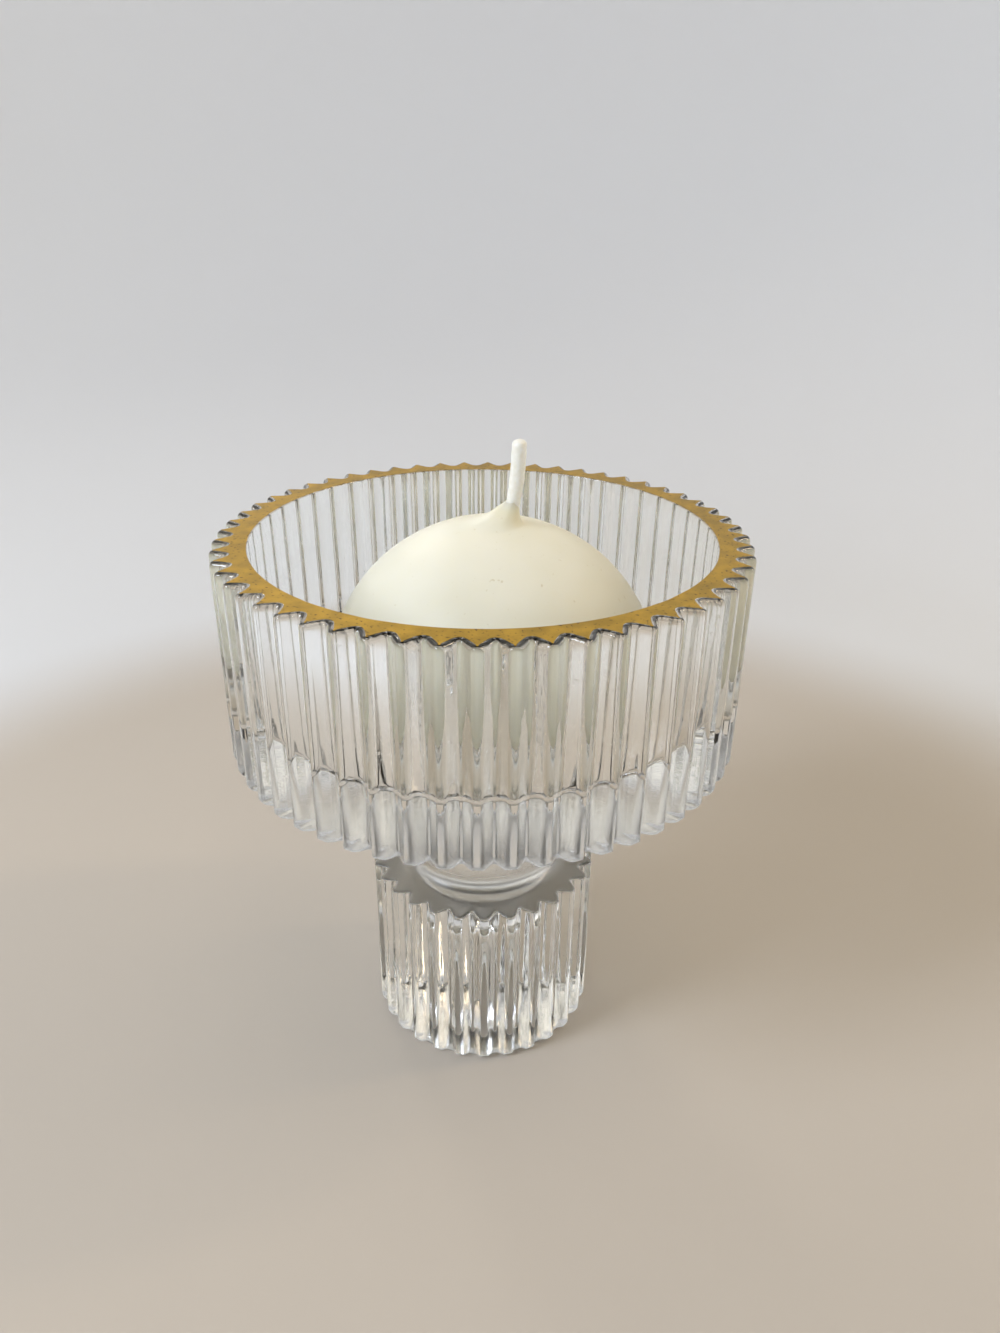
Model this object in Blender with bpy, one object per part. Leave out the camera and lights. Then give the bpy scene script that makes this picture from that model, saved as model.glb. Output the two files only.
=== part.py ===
"""A pressed-glass candle holder: a ribbed cup on a ribbed pedestal, with a domed candle in its bowl.

Metres, +Z up. The origin is the centre of the pedestal's base, and the front is towards -Y.
"""
import math

import bmesh
import bpy

MM = 0.001

# Clearance between neighbouring solids
FIT_GAP = 0.3 * MM

# Ribs of the cup and the foot: a round crest between straight flanks
RIB_CREST_ROUND = 1.25 * MM
RIB_LEAST_ROUND = 0.15 * MM     # left on a crest where the edge above or below it is rounded
RIB_FLANK = 55.0                # degrees that a flank leans from the rib's back
RIB_POINTS = 4                  # corners of one rib: crest, shoulder, groove, shoulder

# Cup: ribbed outside, smooth bowl inside
CUP_RADIUS = 50.0 * MM          # out to the rib crests
CUP_RIBS = 56
CUP_RIB_DEPTH = 2.6 * MM
CUP_TOP_ROUND = 1.1 * MM        # fire-polished outer edge of the rim
CUP_BOTTOM_ROUND = 1.1 * MM
CUP_FLOOR = 9.5 * MM            # solid glass under the bowl
CUP_WALL = 6.7 * MM             # from the bowl's rim out to the rib crests
BOWL_RADIUS = CUP_RADIUS - CUP_WALL
BOWL_DRAFT = 0.5 * MM           # how much narrower the bowl is at its floor
BOWL_DEPTH = 30.4 * MM
BOWL_CORNER = 2.5 * MM          # round where the wall meets the floor
BOWL_LIP = 0.4 * MM             # small bevel on the rim's inner edge

# Gold on the rim
GILT_THICKNESS = 0.3 * MM
GILT_MARGIN = 0.3 * MM          # bare glass between the gold and the bevel inside it

# Pedestal: ribbed foot with a socket below, and a smooth neck above
FOOT_RADIUS = 23.9 * MM         # out to the rib crests
FOOT_RIBS = 28
FOOT_RIB_DEPTH = 2.2 * MM
FOOT_HEIGHT = 38.8 * MM
FOOT_TOP_ROUND = 0.7 * MM
FOOT_BOTTOM_ROUND = 1.1 * MM
FOOT_TURN = 1.7                 # degrees that the foot's ribs are turned from the cup's
NECK_RADIUS = 15.5 * MM
NECK_HEIGHT = 31.6 * MM
NECK_LOW_FILLET = 2.0 * MM
NECK_HIGH_FILLET = 8.0 * MM
NECK_HEAD = 0.6 * MM            # straight edge of the bonded face
SOCKET_RADIUS = 11.4 * MM       # at its mouth
SOCKET_DRAFT = 0.4 * MM         # how much narrower the socket is at its end
SOCKET_DEPTH = 28.0 * MM
SOCKET_MOUTH = 0.9 * MM
SOCKET_CORNER = 1.5 * MM

# Candle
CANDLE_RADIUS = 32.0 * MM       # at its waist
CANDLE_HEIGHT = 32.8 * MM
CANDLE_WAIST = 6.7 * MM         # height of the waist above the candle's base
CANDLE_BASE_RADIUS = 20.0 * MM
CANDLE_OFFSET = 2.0 * MM        # how far it stands from the middle of the bowl
COLLAR_RADIUS = 5.0 * MM        # wax drawn up round the wick
COLLAR_RISE = 2.6 * MM          # above the dome's top
COLLAR_SINK = 1.0 * MM          # where its curve starts, under the dome's top
COLLAR_ROOT = 2.0 * MM          # how deep its foot lies in the dome
COLLAR_WALL = 0.4 * MM

# Wick and the tab at its foot
WICK_RADIUS = 1.5 * MM          # with its coat of wax
WICK_EXPOSED = 15.5 * MM
WICK_LEAN = 5.24                # degrees from upright
WICK_TIP = 0.3                  # flat end, as a share of the wick's radius
TAB_RADIUS = 9.0 * MM
TAB_THICKNESS = 0.4 * MM
TAB_NECK = 4.0 * MM
TAB_WALL = 0.4 * MM

# Fineness of the round shapes
ROUND_STEPS = 2                 # faces round each small edge
NECK_STEPS = 4
COLLAR_STEPS = 3
CIRCLE_STEPS = 48
SMALL_CIRCLE_STEPS = 20
HULL_STEPS = 4
DOME_STEPS = 9
SMOOTH_ANGLE = 35.0

# Plain colours, in linear light
GLASS_COLOR = (0.82, 0.84, 0.82)
GOLD_COLOR = (0.58, 0.34, 0.05)
WAX_COLOR = (0.80, 0.78, 0.64)
COTTON_COLOR = (0.74, 0.72, 0.64)
TIN_COLOR = (0.62, 0.62, 0.60)

# Levels that follow from the sizes
NECK_TOP = FOOT_HEIGHT + NECK_HEIGHT
CUP_BASE = NECK_TOP + FIT_GAP
BOWL_FLOOR = CUP_BASE + CUP_FLOOR
CUP_TOP = BOWL_FLOOR + BOWL_DEPTH
GILT_BASE = CUP_TOP + FIT_GAP
CANDLE_BASE = BOWL_FLOOR + FIT_GAP
CANDLE_TOP = CANDLE_BASE + CANDLE_HEIGHT
WICK_TOP = CANDLE_TOP + WICK_EXPOSED
WICK_HOLE_RADIUS = WICK_RADIUS + FIT_GAP
TAB_NECK_RADIUS = WICK_HOLE_RADIUS + TAB_WALL


def clear_scene():
    for item in list(bpy.data.objects):
        bpy.data.objects.remove(item, do_unlink=True)


def make_material(name, color, roughness, metallic=0.0, transmission=0.0):
    material = bpy.data.materials.new(name)
    material.use_nodes = True
    shader = material.node_tree.nodes["Principled BSDF"]
    shader.inputs["Base Color"].default_value = (*color, 1.0)
    shader.inputs["Roughness"].default_value = roughness
    shader.inputs["Metallic"].default_value = metallic
    shader.inputs["Transmission Weight"].default_value = transmission
    material.diffuse_color = (*color, 1.0)
    return material


def add_object(name, form, material):
    """Turns a closed bmesh into a named object with outward faces and smooth shading."""
    bmesh.ops.recalc_face_normals(form, faces=form.faces)
    mesh = bpy.data.meshes.new(name)
    form.to_mesh(mesh)
    form.free()
    if material:
        mesh.materials.append(material)
    mesh.shade_smooth()
    mesh.set_sharp_from_angle(angle=math.radians(SMOOTH_ANGLE))
    item = bpy.data.objects.new(name, mesh)
    bpy.context.collection.objects.link(item)
    return item


def ribbed_outline(radius, depth, ribs, z, inset=0.0, turn=0.0):
    """Round-crested ribs with straight flanks at height z, moved in by inset square to their surface."""
    flank = math.radians(RIB_FLANK)
    half_pitch = math.pi / ribs
    crest_round = max(RIB_CREST_ROUND - inset, RIB_LEAST_ROUND)
    shoulder_reach = radius - inset - crest_round * (1.0 - math.cos(flank))
    shoulder_angle = crest_round * math.sin(flank) / radius
    points = []
    for index in range(ribs):
        crest = 2.0 * half_pitch * index + math.radians(turn)
        spots = (
            (crest, radius - inset),
            (crest + shoulder_angle, shoulder_reach),
            (crest + half_pitch, radius - depth - inset),
            (crest + 2.0 * half_pitch - shoulder_angle, shoulder_reach),
        )
        for angle, reach in spots:
            points.append((reach * math.cos(angle), reach * math.sin(angle), z))
    return points


def round_outline(radius, z, steps, centre=0.0, turn=0.0):
    """A circle at height z, whose middle lies at centre along X."""
    points = []
    for index in range(steps):
        angle = 2.0 * math.pi * index / steps + math.radians(turn)
        points.append((centre + radius * math.cos(angle), radius * math.sin(angle), z))
    return points


def loft(outlines, closed=False, tip=None):
    """A closed body through a row of outlines of equal length, capped, tipped or joined end to end."""
    form = bmesh.new()
    rings = [[form.verts.new(point) for point in outline] for outline in outlines]
    pairs = list(zip(rings, rings[1:]))
    if closed:
        pairs.append((rings[-1], rings[0]))
    else:
        form.faces.new(rings[0])
    for low, high in pairs:
        for index in range(len(low)):
            after = (index + 1) % len(low)
            form.faces.new((low[index], low[after], high[after], high[index]))
    if tip:
        peak = form.verts.new(tip)
        last = rings[-1]
        for index in range(len(last)):
            form.faces.new((last[index], last[(index + 1) % len(last)], peak))
    elif not closed:
        form.faces.new(rings[-1])
    return form


def arc_steps(steps=ROUND_STEPS):
    """The sine and cosine of evenly spaced angles from 0 to a right angle."""
    quarter = math.pi / 2.0
    return [(math.sin(quarter * i / steps), math.cos(quarter * i / steps)) for i in range(steps + 1)]


def build_cup(material):
    count = CUP_RIBS * RIB_POINTS

    def outer(z, inset=0.0):
        return ribbed_outline(CUP_RADIUS, CUP_RIB_DEPTH, CUP_RIBS, z, inset)

    def inner(radius, z):
        return round_outline(radius, z, count)

    outlines = []
    for rise, keep in arc_steps():
        level = CUP_BASE + CUP_BOTTOM_ROUND * (1.0 - keep)
        outlines.append(outer(level, CUP_BOTTOM_ROUND * (1.0 - rise)))
    for rise, keep in arc_steps():
        level = CUP_TOP - CUP_TOP_ROUND * (1.0 - rise)
        outlines.append(outer(level, CUP_TOP_ROUND * (1.0 - keep)))
    outlines.append(inner(BOWL_RADIUS + BOWL_LIP, CUP_TOP))
    outlines.append(inner(BOWL_RADIUS, CUP_TOP - BOWL_LIP))
    floor_radius = BOWL_RADIUS - BOWL_DRAFT
    for rise, keep in arc_steps():
        level = BOWL_FLOOR + BOWL_CORNER * (1.0 - rise)
        outlines.append(inner(floor_radius - BOWL_CORNER * (1.0 - keep), level))
    return add_object("glass_cup", loft(outlines), material)


def build_gilt(material):
    count = CUP_RIBS * RIB_POINTS
    inner_radius = BOWL_RADIUS + BOWL_LIP + GILT_MARGIN
    top = GILT_BASE + GILT_THICKNESS
    outlines = [
        round_outline(inner_radius, GILT_BASE, count),
        ribbed_outline(CUP_RADIUS, CUP_RIB_DEPTH, CUP_RIBS, GILT_BASE, CUP_TOP_ROUND),
        ribbed_outline(CUP_RADIUS, CUP_RIB_DEPTH, CUP_RIBS, top, CUP_TOP_ROUND),
        round_outline(inner_radius, top, count),
    ]
    return add_object("gilt_rim", loft(outlines, closed=True), material)


def build_pedestal(material):
    count = FOOT_RIBS * RIB_POINTS

    def outer(z, inset=0.0):
        return ribbed_outline(FOOT_RADIUS, FOOT_RIB_DEPTH, FOOT_RIBS, z, inset, FOOT_TURN)

    def smooth(radius, z):
        return round_outline(radius, z, count, turn=FOOT_TURN)

    outlines = []
    end_radius = SOCKET_RADIUS - SOCKET_DRAFT
    for rise, keep in arc_steps():
        level = SOCKET_DEPTH - SOCKET_CORNER * (1.0 - keep)
        outlines.append(smooth(end_radius - SOCKET_CORNER * (1.0 - rise), level))
    for rise, keep in arc_steps():
        level = SOCKET_MOUTH * (1.0 - rise)
        outlines.append(smooth(SOCKET_RADIUS + SOCKET_MOUTH * (1.0 - keep), level))
    for rise, keep in arc_steps():
        level = FOOT_BOTTOM_ROUND * (1.0 - keep)
        outlines.append(outer(level, FOOT_BOTTOM_ROUND * (1.0 - rise)))
    for rise, keep in arc_steps():
        level = FOOT_HEIGHT - FOOT_TOP_ROUND * (1.0 - rise)
        outlines.append(outer(level, FOOT_TOP_ROUND * (1.0 - keep)))
    for rise, keep in arc_steps():
        level = FOOT_HEIGHT + NECK_LOW_FILLET * (1.0 - keep)
        outlines.append(smooth(NECK_RADIUS + NECK_LOW_FILLET * (1.0 - rise), level))
    head_low = NECK_TOP - NECK_HEAD - NECK_HIGH_FILLET
    for rise, keep in arc_steps(NECK_STEPS):
        level = head_low + NECK_HIGH_FILLET * rise
        outlines.append(smooth(NECK_RADIUS + NECK_HIGH_FILLET * (1.0 - keep), level))
    outlines.append(smooth(NECK_RADIUS + NECK_HIGH_FILLET, NECK_TOP))
    return add_object("glass_pedestal", loft(outlines), material)


def wick_middle(z):
    """Where the leaning wick's middle lies along X at height z."""
    return CANDLE_OFFSET + (z - CANDLE_BASE) * math.tan(math.radians(WICK_LEAN))


def leaning_outline(radius, z):
    return round_outline(radius, z, SMALL_CIRCLE_STEPS, wick_middle(z))


def combine(owner, name, form, operation):
    """Joins a helper form to its owner, or cuts it out."""
    helper = add_object(name, form, None)
    helper.hide_render = True
    helper.display_type = "WIRE"
    helper.parent = owner
    step = owner.modifiers.new(name, "BOOLEAN")
    step.operation = operation
    step.solver = "EXACT"
    step.object = helper


def collar_form():
    """Wax drawn up the wick in a hollow curve, with its foot sunk in the dome."""
    neck = WICK_HOLE_RADIUS + COLLAR_WALL
    outlines = [leaning_outline(COLLAR_RADIUS, CANDLE_TOP - COLLAR_ROOT)]
    for rise, keep in arc_steps(COLLAR_STEPS):
        level = CANDLE_TOP - COLLAR_SINK + (COLLAR_SINK + COLLAR_RISE) * (1.0 - keep)
        outlines.append(leaning_outline(neck + (COLLAR_RADIUS - neck) * (1.0 - rise), level))
    return loft(outlines)


def wick_room_form():
    """The room in the candle for the tab, its tube and the wick."""
    plate_room = CANDLE_BASE + TAB_THICKNESS + FIT_GAP
    tube_room = plate_room + TAB_NECK
    plate_radius = TAB_RADIUS + FIT_GAP
    tube_radius = TAB_NECK_RADIUS + FIT_GAP
    return loft([
        round_outline(plate_radius, CANDLE_BASE - FIT_GAP, SMALL_CIRCLE_STEPS, CANDLE_OFFSET),
        round_outline(plate_radius, plate_room, SMALL_CIRCLE_STEPS, CANDLE_OFFSET),
        leaning_outline(tube_radius, plate_room),
        leaning_outline(tube_radius, tube_room),
        leaning_outline(WICK_HOLE_RADIUS, tube_room),
        leaning_outline(WICK_HOLE_RADIUS, WICK_TOP),
    ])


def build_candle(material):
    """A turned dome over a rounded hull, with room for the wick and its tab."""

    def turned(radius, z):
        return round_outline(radius, z, CIRCLE_STEPS, CANDLE_OFFSET)

    outlines = []
    hull_run = CANDLE_RADIUS - CANDLE_BASE_RADIUS
    for rise, keep in arc_steps(HULL_STEPS):
        level = CANDLE_BASE + CANDLE_WAIST * (1.0 - keep)
        outlines.append(turned(CANDLE_BASE_RADIUS + hull_run * rise, level))
    cap = CANDLE_HEIGHT - CANDLE_WAIST
    dome_radius = (CANDLE_RADIUS ** 2 + cap ** 2) / (2.0 * cap)
    waist_angle = math.asin(1.0 - cap / dome_radius)
    for index in range(1, DOME_STEPS):
        angle = waist_angle + (math.pi / 2.0 - waist_angle) * index / DOME_STEPS
        level = CANDLE_TOP - dome_radius * (1.0 - math.sin(angle))
        outlines.append(turned(dome_radius * math.cos(angle), level))
    form = loft(outlines, tip=(CANDLE_OFFSET, 0.0, CANDLE_TOP))
    candle = add_object("candle_wax", form, material)
    combine(candle, "collar", collar_form(), "UNION")
    combine(candle, "wick_room", wick_room_form(), "DIFFERENCE")


def build_wick(material):
    outlines = [leaning_outline(WICK_RADIUS, CANDLE_BASE)]
    for rise, keep in arc_steps():
        level = WICK_TOP - WICK_RADIUS * (1.0 - rise)
        outlines.append(leaning_outline(WICK_RADIUS * max(keep, WICK_TIP), level))
    return add_object("wick", loft(outlines), material)


def build_tab(material):
    """A round tinplate tab with a short tube pinched round the wick."""
    plate_top = CANDLE_BASE + TAB_THICKNESS
    tube_top = plate_top + TAB_NECK
    outlines = [
        leaning_outline(WICK_HOLE_RADIUS, CANDLE_BASE),
        round_outline(TAB_RADIUS, CANDLE_BASE, SMALL_CIRCLE_STEPS, CANDLE_OFFSET),
        round_outline(TAB_RADIUS, plate_top, SMALL_CIRCLE_STEPS, CANDLE_OFFSET),
        leaning_outline(TAB_NECK_RADIUS, plate_top),
        leaning_outline(TAB_NECK_RADIUS, tube_top),
        leaning_outline(WICK_HOLE_RADIUS, tube_top),
    ]
    return add_object("wick_sustainer", loft(outlines, closed=True), material)


def main():
    clear_scene()
    build_cup(make_material("cup_glass", GLASS_COLOR, 0.03, transmission=1.0))
    build_pedestal(make_material("pedestal_glass", GLASS_COLOR, 0.03, transmission=1.0))
    build_gilt(make_material("gold_lustre", GOLD_COLOR, 0.32, metallic=1.0))
    build_candle(make_material("ivory_wax", WAX_COLOR, 0.45))
    build_wick(make_material("waxed_cotton", COTTON_COLOR, 0.6))
    build_tab(make_material("tinplate", TIN_COLOR, 0.3, metallic=1.0))


main()
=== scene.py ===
# Ribbed pressed-glass candle holder with a gilt rim and a domed candle in its bowl
import math
import bmesh
import bpy
from mathutils import Matrix, Vector, noise


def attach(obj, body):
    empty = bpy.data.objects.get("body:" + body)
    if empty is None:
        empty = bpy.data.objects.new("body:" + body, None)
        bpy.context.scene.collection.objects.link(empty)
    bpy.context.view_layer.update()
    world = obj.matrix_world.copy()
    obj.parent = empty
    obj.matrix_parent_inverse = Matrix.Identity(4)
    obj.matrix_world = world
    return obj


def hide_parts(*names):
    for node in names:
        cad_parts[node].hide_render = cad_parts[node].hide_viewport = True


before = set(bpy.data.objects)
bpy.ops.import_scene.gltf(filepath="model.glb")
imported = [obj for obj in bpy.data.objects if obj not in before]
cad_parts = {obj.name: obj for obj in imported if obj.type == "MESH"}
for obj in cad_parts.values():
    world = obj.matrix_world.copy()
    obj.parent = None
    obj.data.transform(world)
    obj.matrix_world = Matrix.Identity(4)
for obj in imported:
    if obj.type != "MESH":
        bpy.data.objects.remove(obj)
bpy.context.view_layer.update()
mm = 0.001                      # pieces are shaped in millimetres and brought to metres at the end
seam = 0.0005                   # the ends of a spin are merged within this
noise.seed_set(1)               # the mould's waves come out the same in every run


def tint(code):                 # an sRGB hex colour as linear light
    parts = [int(code[i:i + 2], 16) / 255 for i in (1, 3, 5)]
    linear = [c / 12.92 if c <= 0.04045 else ((c + 0.055) / 1.055) ** 2.4 for c in parts]
    return (*linear, 1.0)


def newMaterial(name):
    material = bpy.data.materials.new(name)
    material.use_nodes = True
    return material, material.node_tree.nodes["Principled BSDF"]


def feed(owner, node, sockets):
    for name, value in sockets.items():     # a plain value, an output, or a node's first output
        if isinstance(value, bpy.types.Node):
            value = next(output for output in value.outputs if output.enabled)
        if isinstance(value, bpy.types.NodeSocket):
            owner.node_tree.links.new(value, node.inputs[name])
        else:
            node.inputs[name].default_value = value


def addNode(owner, kind, sockets, **settings):
    node = owner.node_tree.nodes.new(kind)
    for name, value in settings.items():
        setattr(node, name, value)
    feed(owner, node, sockets)
    return node


def addObject(name, form, material):
    mesh = bpy.data.meshes.new(name)
    form.to_mesh(mesh)
    form.free()
    mesh.materials.append(material)
    mesh.shade_smooth()
    made = bpy.data.objects.new(name, mesh)
    bpy.context.scene.collection.objects.link(made)
    return made


def addPiece(name, form, material, body, nodes, sharp=40.0):
    bmesh.ops.scale(form, vec=(mm, mm, mm), verts=form.verts)
    piece = addObject(name, form, material)
    piece.data.set_sharp_from_angle(angle=math.radians(sharp))
    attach(piece, body)
    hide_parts(*nodes)
    print("made", name, len(piece.data.polygons), "faces")


def drawSection(form, corners):  # a wire through (reach, height) at the front, each corner rounded
    verts = [form.verts.new((0.0, -reach, height)) for reach, height, _, _ in corners]
    for pair in zip(verts, verts[1:]):
        form.edges.new(pair)
    for vert, (_, _, rounding, steps) in zip(verts, corners):
        if rounding:
            bmesh.ops.bevel(form, geom=[vert], offset=rounding, offset_type="OFFSET",
                            affect="VERTICES", segments=steps, profile=0.5, material=-1)


def cutLong(form, longest):     # even cuts in every edge that is longer than this
    for edge in list(form.edges):
        cuts = int(edge.calc_length() / longest)
        if cuts:
            bmesh.ops.subdivide_edges(form, edges=[edge], cuts=cuts)


def spinSection(form, columns, parts=1):    # a long spin is made of equal parts round the axis
    angle = 2 * math.pi / parts
    bmesh.ops.spin(form, geom=form.verts[:] + form.edges[:], cent=(0, 0, 0), axis=(0, 0, 1),
                   dvec=(0, 0, 0), angle=angle, steps=columns // parts, use_merge=parts == 1)
    part = form.verts[:] + form.edges[:] + form.faces[:]
    for index in range(1, parts):
        copied = bmesh.ops.duplicate(form, geom=part)["geom"]
        verts = [item for item in copied if isinstance(item, bmesh.types.BMVert)]
        turned = Matrix.Rotation(angle * index, 3, "Z")
        bmesh.ops.rotate(form, verts=verts, cent=(0, 0, 0), matrix=turned)
    bmesh.ops.remove_doubles(form, verts=form.verts, dist=seam)
    bmesh.ops.recalc_face_normals(form, faces=form.faces)


def columnOf(place, columns):   # which spun column a point stands in, from the front
    turn = (math.atan2(place.y, place.x) + math.pi / 2) / (2 * math.pi)
    return round(turn * columns) % columns


# Fitted to the photograph
photoCamera = {
    "lens": 27.03, "sensor": 36.0, "nearest": 0.01,
    "place": (0.0033, -0.1786, 0.1731), "pitch": 26.75, "roll": 0.59,
}

cameraData = bpy.data.cameras.new("photoCamera")
cameraData.lens = photoCamera["lens"]
cameraData.sensor_width = photoCamera["sensor"]
cameraData.clip_start = photoCamera["nearest"]
camera = bpy.data.objects.new("photoCamera", cameraData)
camera.matrix_world = (Matrix.Translation(photoCamera["place"])
                       @ Matrix.Rotation(math.radians(90 - photoCamera["pitch"]), 4, "X")
                       @ Matrix.Rotation(math.radians(photoCamera["roll"]), 4, "Z"))
bpy.context.scene.collection.objects.link(camera)
bpy.context.scene.camera = camera


# A round sweep of pale card under soft lamps, in a room with bright panels behind the object
studio = {
    "coveRadius": 0.46, "coveHeight": 0.37, "coveBend": 0.17, "bendSteps": 12,
    "upperHeight": 0.60, "columns": 96, "drop": 0.0001,
    # floorShadeTone is partly the floor's own tone and partly painted shade: the floor is darker
    # round the object and pales to wallTone between wallFrom and wallTo
    "floorShadeTone": "#C1B9AE", "wallTone": "#DCDEE0", "wallFrom": 0.17, "wallTo": 0.25,
    "dimTone": "#3A3938", "gapTone": "#5A5956", "skyTone": "#FFF9EA", "skyLevel": 1.2,
    "panels": 9.0, "gapFrom": 0.09, "gapTo": 0.14,      # gaps as shares of a panel's width
    "frontFrom": -0.45, "backTo": 0.2, "topFrom": 0.95, "topTo": 0.75,      # where panels fade
    # place, aimed at, width, depth, watts, colour
    "lamps": {
        "windowKey": ((-0.60, -0.30, 0.55), (0.0, 0.0, 0.07), 0.24, 0.44, 4.6, "#E6EFFF"),
        "ceilingFill": ((0.10, -0.10, 1.00), (0.0, 0.0, 0.05), 0.40, 0.40, 0.9, "#FFE8CC"),
        "rightStrip": ((0.55, 0.10, 0.50), (0.0, 0.0, 0.08), 0.06, 0.40, 0.9, "#FFE4BE"),
        "frontGlint": ((0.16, -0.52, 0.78), (0.0, 0.0, 0.10), 0.04, 0.04, 0.14, "#FFF3DC"),
        "backGlow": ((-0.30, 0.62, 0.42), (0.0, 0.0, 0.10), 0.14, 0.14, 0.60, "#FFFAF0"),
    },
}


# the floor's darker disc round the object is painted shade laid over the floor's own tone
def paleCard():                 # uncoated card: no gloss, paler towards its wall
    material, shader = newMaterial("paleMattCard")
    place = addNode(material, "ShaderNodeTexCoord", {}).outputs["Object"]
    reach = addNode(material, "ShaderNodeVectorMath", {0: place}, operation="LENGTH")
    rise = addNode(material, "ShaderNodeMapRange", {
        "Value": reach, "From Min": studio["wallFrom"], "From Max": studio["wallTo"]},
        interpolation_type="SMOOTHSTEP")
    tone = addNode(material, "ShaderNodeMix", {
        "Factor": rise, "A": tint(studio["floorShadeTone"]), "B": tint(studio["wallTone"])},
        data_type="RGBA")
    feed(material, shader, {"Base Color": tone, "Roughness": 0.9, "Specular IOR Level": 0.2})
    return material


def addCard(name, corners, material):
    form = bmesh.new()
    drawSection(form, corners)
    spinSection(form, studio["columns"])
    bmesh.ops.translate(form, vec=(0, 0, -studio["drop"]), verts=form.verts)
    bmesh.ops.reverse_faces(form, faces=form.faces)
    card = addObject(name, form, material)
    card.visible_shadow = False     # the lamps stand outside the card
    return card


def buildCove():                # floor, bend and low wall, and a ring above that backs low views
    reach, height, top = studio["coveRadius"], studio["coveHeight"], studio["upperHeight"]
    material = paleCard()
    addCard("paperCove", [
        (0.0, 0.0, 0, 0), (reach, 0.0, studio["coveBend"], studio["bendSteps"]),
        (reach, height, 0, 0)], material)
    upper = addCard("upperCard", [(reach, height, 0, 0), (reach, top, 0, 0)], material)
    # only the camera sees the ring, so the object keeps the room's light
    upper.visible_diffuse = upper.visible_glossy = upper.visible_transmission = False


def buildLamps():
    for name, (place, target, width, depth, watts, colour) in studio["lamps"].items():
        data = bpy.data.lights.new(name, "AREA")
        data.shape = "RECTANGLE"
        data.size, data.size_y = width, depth
        data.energy = watts
        data.color = tint(colour)[:3]
        aim = Vector(target) - Vector(place)
        lamp = bpy.data.objects.new(name, data)
        lamp.location = place
        lamp.rotation_euler = aim.to_track_quat("-Z", "Y").to_euler()
        bpy.context.scene.collection.objects.link(lamp)


def buildRoom():                # light panels behind the object, and a dim room in front
    world = bpy.data.worlds.new("studioRoom")
    bpy.context.scene.world = world
    world.use_nodes = True
    toward = addNode(world, "ShaderNodeTexCoord", {}).outputs["Generated"]
    split = addNode(world, "ShaderNodeSeparateXYZ", {"Vector": toward}).outputs
    behind = addNode(world, "ShaderNodeMapRange", {
        "Value": split["Y"], "From Min": studio["frontFrom"], "From Max": studio["backTo"]},
        interpolation_type="SMOOTHSTEP")
    below = addNode(world, "ShaderNodeMapRange", {
        "Value": split["Z"], "From Min": studio["topFrom"], "From Max": studio["topTo"]},
        interpolation_type="SMOOTHSTEP")
    share = addNode(world, "ShaderNodeMath", {0: behind, 1: below}, operation="MULTIPLY")
    turn = addNode(world, "ShaderNodeMath", {0: split["X"], 1: split["Y"]}, operation="ARCTAN2")
    across = addNode(world, "ShaderNodeMath", {
        0: turn, 1: studio["panels"] / math.pi}, operation="MULTIPLY")
    panel = addNode(world, "ShaderNodeMath", {0: across, 1: 0.5}, operation="PINGPONG")
    edge = addNode(world, "ShaderNodeMapRange", {
        "Value": panel, "From Min": studio["gapFrom"], "From Max": studio["gapTo"]},
        interpolation_type="SMOOTHSTEP")
    bright = addNode(world, "ShaderNodeMix", {
        "Factor": edge, "A": tint(studio["gapTone"]), "B": tint(studio["skyTone"])},
        data_type="RGBA")
    tone = addNode(world, "ShaderNodeMix", {
        "Factor": share, "A": tint(studio["dimTone"]), "B": bright}, data_type="RGBA")
    feed(world, world.node_tree.nodes["Background"], {
        "Color": tone, "Strength": studio["skyLevel"]})


buildCove()
buildLamps()
buildRoom()
bpy.context.scene.view_settings.view_transform = "Standard"
print("studio ready")


# Cup, neck and foot: one clear pressing to the eye
glass = {
    "columns": 784, "parts": 56,    # 14 columns to each cup rib and 28 to each foot rib
    "longest": 4.2,
    "film": 0.05,               # room kept for the gold on the rim
    "cup": {"radius": 50.0, "ribs": 56, "depth": 2.6, "crest": 1.26, "groove": 0.45, "turn": 0.0,
            "edge": 1.1, "lowEdge": 1.6, "grooveEase": 0.1, "shallow": 0.0},
    "foot": {"radius": 23.9, "ribs": 28, "depth": 2.2, "crest": 1.25, "groove": 0.45, "turn": 1.7,
             "edge": 0.7, "lowEdge": 1.6, "grooveEase": 0.1, "shallow": 1.5},
    "crestShare": 0.42, "grooveShare": 0.28,    # of half a rib's columns; the flank has the rest
    "base": 70.7, "top": 111.2, "floor": 80.2, "footTop": 38.8, "runOut": 5.4,
    "bowlFoot": 42.8, "bowlMouth": 43.3, "neck": 15.5,
    "socketMouth": 11.4, "socketEnd": 11.0, "socketDepth": 28.0,
    "rounding": {"bowl": 2.5, "lip": 0.4, "flare": 8.0, "root": 3.3, "mouth": 0.9, "end": 1.5},
    "flatFrom": {"rim": 44.6, "under": 34.0, "shoulder": 19.0, "ring": 14.0},
    "slack": 0.01,              # heights and reaches this close count as the same
    "waveDepth": 0.015, "waveLength": 11.0,
    "satinFrom": 0.0002, "satinTo": 0.0006,     # metres off a flat face where its satin fades
    "satinClimb": 0.065,        # the shoulder's satin fades this much slower up the neck's root
}


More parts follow.
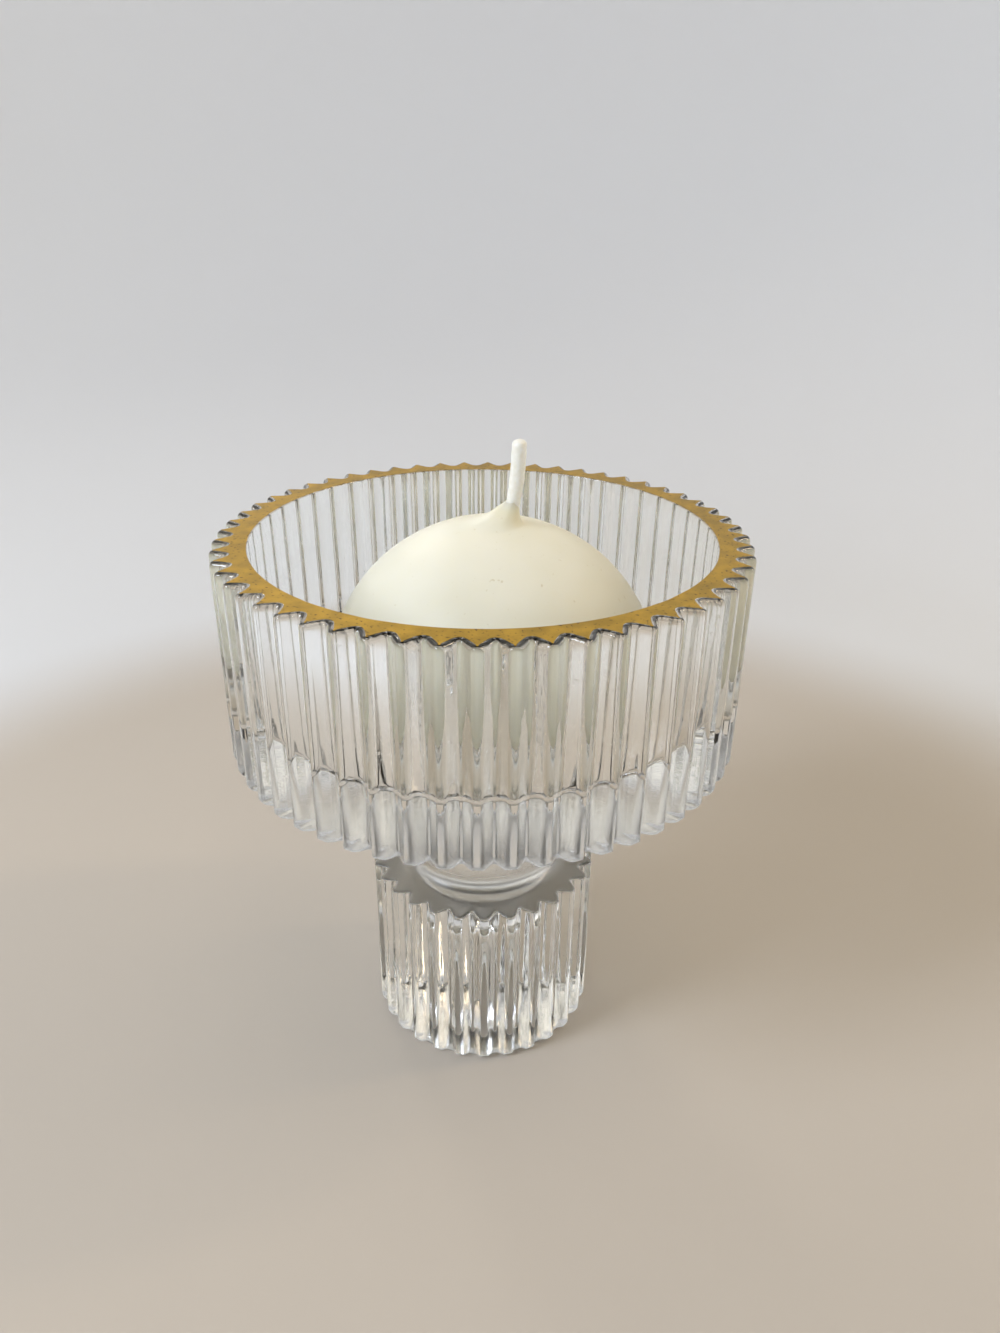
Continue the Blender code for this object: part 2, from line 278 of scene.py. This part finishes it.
def ribColumns(wall):           # half a rib, crest to groove: where each column stands and faces
    half = glass["columns"] // wall["ribs"] // 2
    crestSteps = round(half * glass["crestShare"])
    grooveSteps = round(half * glass["grooveShare"])
    flankSteps = half - crestSteps - grooveSteps
    step = math.pi / wall["ribs"]
    crest = Vector((0.0, wall["radius"] - wall["crest"]))
    reach = wall["radius"] - wall["depth"] + wall["groove"]
    groove = Vector((math.sin(step), math.cos(step))) * reach
    run = groove - crest
    flank = math.asin((wall["crest"] + wall["groove"]) / run.length) - math.atan2(run.y, run.x)

    def facing(angle):
        return Vector((math.sin(angle), math.cos(angle)))

    columns = []
    for i in range(crestSteps + 1):
        side = facing(flank * i / crestSteps)
        columns.append((crest + side * wall["crest"], side))
    high, low = columns[-1][0], groove - facing(flank) * wall["groove"]
    for i in range(1, flankSteps + 1):
        columns.append((high.lerp(low, i / flankSteps), facing(flank)))
    for i in range(1, grooveSteps + 1):
        side = facing(flank + (step - flank) * i / grooveSteps)
        columns.append((groove - side * wall["groove"], side))
    return columns


for wall in (glass["cup"], glass["foot"]):
    wall["half"] = ribColumns(wall)


def ribbedPlace(wall, column, inset, height):   # a column's place on the wall, moved in by inset
    perRib = glass["columns"] // wall["ribs"]
    rib = (column + perRib // 2) // perRib
    offset = column - rib * perRib
    spot, side = wall["half"][abs(offset)]
    spot = spot - side * inset
    angle = 2 * math.pi * rib / wall["ribs"] - math.pi / 2 + math.radians(wall["turn"])
    across = spot.x if offset >= 0 else -spot.x
    return Vector((spot.y * math.cos(angle) - across * math.sin(angle),
                   spot.y * math.sin(angle) + across * math.cos(angle), height))


def edgePlace(wall, column, inset, height, turned):     # a turned edge only cuts the crests back
    if not turned:
        return ribbedPlace(wall, column, inset, height)
    place = ribbedPlace(wall, column, inset * wall["grooveEase"], height)
    if wall["shallow"]:         # the grooves run out above the foot's edge
        short = wall["radius"] - wall["shallow"] - place.xy.length
        place.xy *= 1 + max(short, 0.0) / place.xy.length
    over = place.xy.length - (wall["radius"] - inset)
    place.xy *= 1 - max(over, 0.0) / place.xy.length
    return place


def ontoRibs(wall, column, reach, height, flatFrom, turned):    # from the round form to the ribs
    inset = max(wall["radius"] - reach, 0.0)
    edge = wall["lowEdge"] if turned else wall["edge"]
    if inset <= edge + glass["slack"]:
        return edgePlace(wall, column, inset, height, turned)
    angle = 2 * math.pi * column / glass["columns"] - math.pi / 2
    plain = Vector((flatFrom * math.cos(angle), flatFrom * math.sin(angle), height))
    share = (reach - flatFrom) / (wall["radius"] - edge - flatFrom)
    return plain.lerp(edgePlace(wall, column, edge, height, turned), share)


def wavy(place):                # the faint unevenness that a mould leaves in pressed glass
    flow = noise.noise_vector(place / glass["waveLength"])
    return place + flow * glass["waveDepth"]


def shapeGlass(place):
    reach, column = math.hypot(place.x, place.y), columnOf(place, glass["columns"])
    if place.z > glass["base"] - glass["slack"]:
        wall, base, upper, lower = glass["cup"], glass["base"], "rim", "under"
    else:
        wall, base, upper, lower = glass["foot"], 0.0, "shoulder", "ring"
    low = place.z < base + wall["lowEdge"] + glass["slack"]
    flatFrom = glass["flatFrom"][lower if low else upper]
    if reach <= flatFrom:
        return place.copy()
    return ontoRibs(wall, column, reach, place.z, flatFrom, low)


def pressedGlass():
    # Soda-lime glass pressed in an iron mould and fire-polished: water-clear, with a slow ripple,
    # fine upright drag marks, patches of tiny pits on the ribs, and a satin skin where cup,
    # shoulder and foot are flat
    material, shader = newMaterial("pressedSodaLimeGlass")
    place = addNode(material, "ShaderNodeTexCoord", {}).outputs["Object"]
    height = addNode(material, "ShaderNodeSeparateXYZ", {"Vector": place}).outputs["Z"]
    fromCup = addNode(material, "ShaderNodeMath", {
        0: height, 1: glass["base"] * mm}, operation="SUBTRACT")
    awayCup = addNode(material, "ShaderNodeMath", {0: fromCup}, operation="ABSOLUTE")
    low = addNode(material, "ShaderNodeMath", {0: height, 1: awayCup}, operation="MINIMUM")
    fromTop = addNode(material, "ShaderNodeMath", {
        0: height, 1: glass["footTop"] * mm}, operation="SUBTRACT")
    under = addNode(material, "ShaderNodeMath", {0: fromTop, 1: -1.0}, operation="MULTIPLY")
    over = addNode(material, "ShaderNodeMath", {
        0: fromTop, 1: glass["satinClimb"]}, operation="MULTIPLY")
    awayTop = addNode(material, "ShaderNodeMath", {0: under, 1: over}, operation="MAXIMUM")
    nearest = addNode(material, "ShaderNodeMath", {0: low, 1: awayTop}, operation="MINIMUM")
    flat = addNode(material, "ShaderNodeMapRange", {
        "Value": nearest, "From Min": glass["satinFrom"], "From Max": glass["satinTo"],
        "To Min": 1.0, "To Max": 0.0})
    edge = addNode(material, "ShaderNodeMapRange", {
        "Value": low, "From Min": 0.0008, "From Max": 0.0030, "To Min": 1.0, "To Max": 0.0})
    band = addNode(material, "ShaderNodeMapRange", {
        "Value": low, "From Min": 0.004, "From Max": 0.011, "To Min": 1.0, "To Max": 0.07})
    sides = addNode(material, "ShaderNodeMath", {0: band, 1: flat},
                    operation="SUBTRACT", use_clamp=True)
    slow = addNode(material, "ShaderNodeTexNoise", {
        "Vector": place, "Scale": 150.0, "Detail": 1.0})
    upright = addNode(material, "ShaderNodeMapping", {
        "Vector": place, "Scale": (1500.0, 1500.0, 70.0)})
    drag = addNode(material, "ShaderNodeTexNoise", {
        "Vector": upright, "Scale": 1.0, "Detail": 2.5})
    fine = addNode(material, "ShaderNodeTexNoise", {
        "Vector": place, "Scale": 2200.0, "Detail": 1.0})
    pit = addNode(material, "ShaderNodeMapRange", {
        "Value": fine, "From Min": 0.66, "From Max": 0.74})
    patch = addNode(material, "ShaderNodeMapRange", {
        "Value": slow, "From Min": 0.52, "From Max": 0.62})
    relief = 0.0                # depths in millimetres
    for marks, share, depth in ((slow, 1.0, 0.006), (drag, sides, 0.090),
                                (pit, patch, -0.012), (fine, edge, 0.030)):
        scaled = addNode(material, "ShaderNodeMath", {0: share, 1: depth}, operation="MULTIPLY")
        relief = addNode(material, "ShaderNodeMath", {0: marks, 1: scaled, 2: relief},
                         operation="MULTIPLY_ADD")
    surface = addNode(material, "ShaderNodeBump", {
        "Height": relief, "Distance": mm, "Strength": 1.0})
    satin = addNode(material, "ShaderNodeMapRange", {
        "Value": flat, "To Min": 0.005, "To Max": 0.09})
    shoulder = addNode(material, "ShaderNodeMapRange", {
        "Value": awayTop, "From Min": glass["satinFrom"], "From Max": glass["satinTo"],
        "To Min": 0.30, "To Max": 0.0})
    rough = addNode(material, "ShaderNodeMath", {0: satin, 1: shoulder}, operation="MAXIMUM")
    feed(material, shader, {"Base Color": tint("#FBFCFB"), "Roughness": rough, "IOR": 1.52,
                            "Transmission Weight": 1.0, "Normal": surface})
    return material


def buildGlass():
    g, cup, foot, rounding = glass, glass["cup"], glass["foot"], glass["rounding"]
    rim = g["top"] - g["film"]
    form = bmesh.new()
    drawSection(form, [         # reach, height, rounding, steps
        (0.0, g["floor"], 0, 0),
        (g["bowlFoot"], g["floor"], rounding["bowl"], 5),
        (g["bowlMouth"], rim, rounding["lip"], 3),
        (cup["radius"], rim, cup["edge"], 5),
        (cup["radius"], g["base"], cup["lowEdge"], 6),
        (g["neck"], g["base"], rounding["flare"], 10),
        (g["neck"], g["footTop"], rounding["root"], 8),
        (foot["radius"], g["footTop"], foot["edge"], 4),
        (foot["radius"], g["runOut"], 0, 0),
        (foot["radius"], 0.0, foot["lowEdge"], 6),
        (g["socketMouth"], 0.0, rounding["mouth"], 4),
        (g["socketEnd"], g["socketDepth"], rounding["end"], 4),
        (0.0, g["socketDepth"], 0, 0)])
    cutLong(form, g["longest"])
    spinSection(form, g["columns"], g["parts"])
    for vert in form.verts:
        vert.co = wavy(shapeGlass(vert.co))
    bmesh.ops.recalc_face_normals(form, faces=form.faces)
    addPiece("glass_body", form, pressedGlass(), "holder",
             ["glass_cup", "glass_pedestal"], 70.0)


buildGlass()


# Gold lustre on the rim, toothed by the rib tips
gilding = {
    "rows": 20, "inner": 43.4, "lift": 0.025, "thickness": 0.05,
    "tooth": (0.30, 0.28, 0.22, 0.14, 0.10, 0.08, 0.04, 0.0),   # past the flat, crest to groove
    # how far the brush wandered, how often, and how much of it shows at each side of the band
    "wander": 0.22, "wanderTurns": 9.0, "wanderPhase": 3.0, "wanderOut": 0.3, "wanderIn": 0.6,
    "probe": 0.1,               # a step into the rib that gives its outward direction
}


def onRim(column, run):         # a point this far out along the rim, over its rounded edge
    cup, rim = glass["cup"], glass["top"] - glass["film"]
    edge = ribbedPlace(cup, column, cup["edge"], rim)
    angle = 2 * math.pi * column / glass["columns"] - math.pi / 2
    inner = gilding["inner"]
    start = Vector((inner * math.cos(angle), inner * math.sin(angle), rim))
    width = (edge - start).length
    if run <= width:
        return start.lerp(edge, run / width), Vector((0, 0, 1))
    bend = (run - width) / cup["edge"]
    inset = cup["edge"] * (1 - math.sin(bend))
    place = ribbedPlace(cup, column, inset, rim - cup["edge"] * (1 - math.cos(bend)))
    within = ribbedPlace(cup, column, inset + gilding["probe"], place.z)
    outward = (place - within).normalized()
    return place, outward * math.sin(bend) + Vector((0, 0, math.cos(bend)))


def goldLustre():
    # Liquid bright gold brushed on and fired: a film of real metal, satin over the glass, thinner
    # and browner at the stroke ends, with fine dark specks where dust lay in it
    material, shader = newMaterial("firedGoldLustre")
    place = addNode(material, "ShaderNodeTexCoord", {}).outputs["Object"]
    cloud = addNode(material, "ShaderNodeTexNoise", {
        "Vector": place, "Scale": 260.0, "Detail": 3.0})
    thin = addNode(material, "ShaderNodeMapRange", {
        "Value": cloud, "From Min": 0.35, "From Max": 0.65})
    tone = addNode(material, "ShaderNodeMix", {
        "Factor": thin, "A": tint("#AD8A2A"), "B": tint("#CAA239")}, data_type="RGBA")
    grit = addNode(material, "ShaderNodeTexNoise", {
        "Vector": place, "Scale": 1900.0, "Detail": 1.0})
    speck = addNode(material, "ShaderNodeMapRange", {
        "Value": grit, "From Min": 0.66, "From Max": 0.72})
    gold = addNode(material, "ShaderNodeMix", {
        "Factor": speck, "A": tone, "B": tint("#5E4318")}, data_type="RGBA")
    satin = addNode(material, "ShaderNodeMapRange", {
        "Value": cloud, "To Min": 0.30, "To Max": 0.46})
    brush = addNode(material, "ShaderNodeBump", {
        "Height": cloud, "Distance": 0.000015, "Strength": 1.0})
    feed(material, shader, {
        "Base Color": gold, "Roughness": satin, "Metallic": 1.0, "Normal": brush})
    return material


def buildGilding():
    form = bmesh.new()
    drawSection(form, [(1.0, 0.0, 0, 0), (2.0, 0.0, 0, 0)])     # reach less 1 is the share across
    bmesh.ops.subdivide_edges(form, edges=form.edges[:], cuts=gilding["rows"] - 1)
    spinSection(form, glass["columns"], glass["parts"])
    cup, perRib = glass["cup"], glass["columns"] // glass["cup"]["ribs"]
    turns, phase = gilding["wanderTurns"], gilding["wanderPhase"]
    for vert in form.verts:
        share = math.hypot(vert.co.x, vert.co.y) - 1.0
        column = columnOf(vert.co, glass["columns"])
        fromCrest = abs(column - round(column / perRib) * perRib)
        angle = 2 * math.pi * column / glass["columns"]
        drift = noise.noise(Vector((math.cos(angle) * turns, math.sin(angle) * turns, phase)))
        hand = drift * gilding["wander"]
        width = ribbedPlace(cup, column, cup["edge"], 0).xy.length - gilding["inner"]
        reach = width + gilding["tooth"][fromCrest] + hand * gilding["wanderOut"]
        start = max(0.0, hand * gilding["wanderIn"])
        place, side = onRim(column, start + (reach - start) * share)
        vert.co = wavy(place) + side * gilding["lift"]
    bmesh.ops.recalc_face_normals(form, faces=form.faces)
    bmesh.ops.solidify(form, geom=form.faces[:], thickness=gilding["thickness"])
    bmesh.ops.recalc_face_normals(form, faces=form.faces)
    addPiece("gilt_film", form, goldLustre(), "holder", ["gilt_rim"])


buildGilding()


# A domed candle, set a little to the right, with wax drawn up its wick
candle = {
    "columns": 160, "longest": 4.0, "hullSteps": 12, "domeSteps": 32, "ringSteps": 32,
    "middle": 2.0, "base": 80.5, "top": 113.3, "radius": 32.0, "waist": 6.7, "baseRadius": 20.0,
    "ringReach": 9.0, "ringCrowd": 0.7,     # closer rings inside this reach, crowding inwards
    "hole": 1.33, "holeDepth": 4.0, "holeTaper": 0.1,
    "collarRise": 4.0, "collarWidth": 5.2, "collarSkew": 2.4, "collarHollow": 2.8,
    "collarDepth": 3.5, "collarLump": 0.12, "collarLumpLength": 1.6,
    "lean": 5.24, "wickLength": 15.5, "wickBow": 0.35,
    "dentDepth": 0.10, "dentLength": 14.0,
    "wickTintPlace": (0.0049, 0.0, 0.1150), "wickTintFrom": 0.0018, "wickTintTo": 0.0052,    # metres
}


def wickMiddle(height):         # the wick leaves the wax at a slant and straightens to its tip
    along = min(1.0, max(0.0, (height - candle["top"]) / candle["wickLength"]))
    bow = (candle["wickBow"] * math.sin(math.pi * along)
           - candle["wickBow"] * (1 - along) ** 2)
    slant = math.tan(math.radians(candle["lean"]))
    return candle["middle"] + (height - candle["base"]) * slant + bow


def candleWax():
    # Ivory paraffin wax cast in a mould and dipped: dense, milky just under the skin, satin from
    # handling, with small scuffs and flecks
    material, shader = newMaterial("ivoryParaffinWax")
    place = addNode(material, "ShaderNodeTexCoord", {}).outputs["Object"]
    milk = addNode(material, "ShaderNodeTexNoise", {
        "Vector": place, "Scale": 45.0, "Detail": 2.0})
    cloud = addNode(material, "ShaderNodeMapRange", {
        "Value": milk, "From Min": 0.35, "From Max": 0.65})
    tone = addNode(material, "ShaderNodeMix", {
        "Factor": cloud, "A": tint("#E6E3CE"), "B": tint("#ECEAD9")}, data_type="RGBA")
    dust = addNode(material, "ShaderNodeTexNoise", {
        "Vector": place, "Scale": 900.0, "Detail": 2.0})
    fleck = addNode(material, "ShaderNodeMapRange", {
        "Value": dust, "From Min": 0.70, "From Max": 0.76})
    clean = addNode(material, "ShaderNodeMix", {
        "Factor": fleck, "A": tone, "B": tint("#DAD4BA")}, data_type="RGBA")
    fromWick = addNode(material, "ShaderNodeVectorMath", {
        0: place, 1: candle["wickTintPlace"]}, operation="DISTANCE")
    wickTint = addNode(material, "ShaderNodeMapRange", {
        "Value": fromWick, "From Min": candle["wickTintFrom"], "From Max": candle["wickTintTo"],
        "To Min": 0.45, "To Max": 0.0})
    skin = addNode(material, "ShaderNodeMix", {     # yellower round the wick's foot
        "Factor": wickTint, "A": clean, "B": tint("#E8DDB4")}, data_type="RGBA")
    satin = addNode(material, "ShaderNodeMapRange", {
        "Value": milk, "To Min": 0.40, "To Max": 0.52})
    grain = addNode(material, "ShaderNodeBump", {
        "Height": dust, "Distance": 0.000012, "Strength": 1.0})
    feed(material, shader, {
        "Base Color": skin, "Roughness": satin, "IOR": 1.44, "Subsurface Weight": 0.5,
        "Subsurface Radius": (1.0, 0.92, 0.76), "Subsurface Scale": 0.0016, "Normal": grain})
    return material


def collarHeight(reach, angle):     # wax drawn up the wick, wider on the left
    c = candle
    share = (reach - c["hole"]) / (c["collarWidth"] - c["collarSkew"] * math.cos(angle))
    return c["collarRise"] * max(0.0, 1 - max(share, 0.0)) ** c["collarHollow"]


def candleSection():            # hull, dome, closer rings round the wick, and the wick's hole
    c = candle
    cap = c["top"] - c["base"] - c["waist"]
    ball = (c["radius"] ** 2 + cap ** 2) / (2 * cap)
    centre = c["top"] - ball
    corners = [(0.0, c["base"], 0, 0), (c["baseRadius"], c["base"], 0, 0)]
    for i in range(1, c["hullSteps"] + 1):
        turn = math.pi / 2 * i / c["hullSteps"]
        corners.append((c["baseRadius"] + (c["radius"] - c["baseRadius"]) * math.sin(turn),
                        c["base"] + c["waist"] * (1 - math.cos(turn)), 0, 0))
    low = math.asin((c["base"] + c["waist"] - centre) / ball)
    high = math.acos(c["ringReach"] / ball)
    for i in range(1, c["domeSteps"] + 1):
        turn = low + (high - low) * i / c["domeSteps"]
        corners.append((ball * math.cos(turn), centre + ball * math.sin(turn), 0, 0))
    for i in range(1, c["ringSteps"] + 1):
        inward = (i / c["ringSteps"]) ** c["ringCrowd"]
        reach = c["ringReach"] + (c["hole"] - c["ringReach"]) * inward
        corners.append((reach, centre + math.sqrt(ball ** 2 - reach ** 2), 0, 0))
    bottom = c["top"] - c["holeDepth"]
    return corners + [(c["hole"] - c["holeTaper"], bottom, 0, 0), (0.0, bottom, 0, 0)]


def buildCandle():
    c = candle
    form = bmesh.new()
    drawSection(form, candleSection())
    cutLong(form, c["longest"])
    spinSection(form, c["columns"])
    for vert in form.verts:
        place = vert.co.copy()
        reach, angle = math.hypot(place.x, place.y), math.atan2(place.y, place.x)
        inCollar = place.z > c["top"] - c["collarDepth"]
        near = max(0.0, 1 - reach / c["ringReach"]) if inCollar else 0.0
        near = near * near * (3 - 2 * near)
        place += vert.normal * noise.noise(place / c["dentLength"]) * c["dentDepth"] * (1 - near)
        if near and reach > c["hole"] - c["holeTaper"] / 2:
            lump = 1 + c["collarLump"] * noise.noise(place / c["collarLumpLength"])
            place.z += collarHeight(reach, angle) * lump
        place.x += c["middle"] + (wickMiddle(place.z) - c["middle"]) * near
        vert.co = place
    bmesh.ops.recalc_face_normals(form, faces=form.faces)
    addPiece("candle_body", form, candleWax(), "candle", ["candle_wax"])


buildCandle()


# The braided wick: its foot is hidden in the wax
wick = {
    "columns": 36, "longest": 0.28, "radius": 1.34, "foot": 112.0, "tip": 128.75, "tipRound": 1.1,
    "braidRise": 2.4, "braidDepth": 0.035, "lump": 0.07, "lumpLength": 2.6,
}


def waxedCotton():
    # Braided cotton dipped in wax: off-white, the braid softened under a thin satin coat
    material, shader = newMaterial("waxedCottonBraid")
    place = addNode(material, "ShaderNodeTexCoord", {}).outputs["Object"]
    fibre = addNode(material, "ShaderNodeTexNoise", {
        "Vector": place, "Scale": 1400.0, "Detail": 3.0})
    coat = addNode(material, "ShaderNodeMapRange", {
        "Value": fibre, "From Min": 0.3, "From Max": 0.7})
    tone = addNode(material, "ShaderNodeMix", {
        "Factor": coat, "A": tint("#F0EEE2"), "B": tint("#F8F7F0")}, data_type="RGBA")
    fuzz = addNode(material, "ShaderNodeBump", {
        "Height": fibre, "Distance": 0.00002, "Strength": 1.0})
    feed(material, shader, {
        "Base Color": tone, "Roughness": 0.36, "IOR": 1.44, "Subsurface Weight": 0.4,
        "Subsurface Radius": (1.0, 0.92, 0.76), "Subsurface Scale": 0.0006, "Normal": fuzz})
    return material


def buildWick():
    w = wick
    form = bmesh.new()
    drawSection(form, [(0.0, w["foot"], 0, 0), (w["radius"], w["foot"], 0, 0),
                       (w["radius"], w["tip"], w["tipRound"], 6), (0.0, w["tip"], 0, 0)])
    cutLong(form, w["longest"])
    spinSection(form, w["columns"])
    for vert in form.verts:
        place = vert.co.copy()
        angle, turn = math.atan2(place.y, place.x), 2 * math.pi * place.z / w["braidRise"]
        strands = (abs(math.sin(angle * 2 + turn / 2)) + abs(math.sin(angle * 2 - turn / 2))
                   - 1.0)
        lump = noise.noise(place / w["lumpLength"]) * w["lump"]
        reach = math.hypot(place.x, place.y)
        if reach > 0.01:        # off the axis
            swell = strands * w["braidDepth"] + lump
            swell = 1 + swell * min(1.0, reach / w["radius"]) / reach
            place.x, place.y = place.x * swell, place.y * swell
        place.x += wickMiddle(place.z)
        vert.co = place
    bmesh.ops.recalc_face_normals(form, faces=form.faces)
    addPiece("wick_braid", form, waxedCotton(), "candle", ["wick"], 80.0)


buildWick()


# The tinplate tab under the candle that holds the wick's foot
tab = {
    "columns": 72, "longest": 1.6, "radius": 9.0, "base": 80.5, "plate": 0.4, "neck": 4.4,
    "hole": 1.55, "wall": 0.4, "rimRound": 0.12, "rootRound": 0.3, "lipRound": 0.1,
    "crimps": 4, "crimpDepth": 0.07, "crimpRise": 1.5,
}


def tinPlate():
    # Thin steel sheet dipped in tin and stamped: pale grey, faint rolling lines
    material, shader = newMaterial("stampedTinplate")
    place = addNode(material, "ShaderNodeTexCoord", {}).outputs["Object"]
    along = addNode(material, "ShaderNodeMapping", {
        "Vector": place, "Scale": (900.0, 60.0, 200.0)})
    rolled = addNode(material, "ShaderNodeTexNoise", {
        "Vector": along, "Scale": 1.0, "Detail": 2.0})
    streak = addNode(material, "ShaderNodeMapRange", {
        "Value": rolled, "From Min": 0.3, "From Max": 0.7})
    tone = addNode(material, "ShaderNodeMix", {
        "Factor": streak, "A": tint("#B4B4B0"), "B": tint("#C9C9C5")}, data_type="RGBA")
    lines = addNode(material, "ShaderNodeBump", {
        "Height": rolled, "Distance": 0.000004, "Strength": 1.0})
    feed(material, shader, {
        "Base Color": tone, "Metallic": 1.0, "Roughness": 0.3, "Normal": lines})
    return material


def buildTab():
    t = tab
    outer, plateTop, top = t["hole"] + t["wall"], t["base"] + t["plate"], t["base"] + t["neck"]
    form = bmesh.new()
    drawSection(form, [
        (t["hole"], t["base"], 0, 0), (t["radius"], t["base"], t["rimRound"], 2),
        (t["radius"], plateTop, t["rimRound"], 2), (outer, plateTop, t["rootRound"], 3),
        (outer, top, t["lipRound"], 2), (t["hole"], top, t["lipRound"], 2),
        (t["hole"], t["base"], 0, 0)])
    cutLong(form, t["longest"])
    spinSection(form, t["columns"])
    for vert in form.verts:
        angle = math.atan2(vert.co.y, vert.co.x)
        rise = max(0.0, vert.co.z - t["base"] - t["plate"])
        pinch = 0.5 + 0.5 * math.cos(angle * t["crimps"])
        crimp = 1 - t["crimpDepth"] * min(1.0, rise / t["crimpRise"]) * pinch
        vert.co.x = vert.co.x * crimp + candle["middle"]
        vert.co.y *= crimp
    bmesh.ops.recalc_face_normals(form, faces=form.faces)
    addPiece("wick_tab", form, tinPlate(), "candle", ["wick_sustainer"])


buildTab()
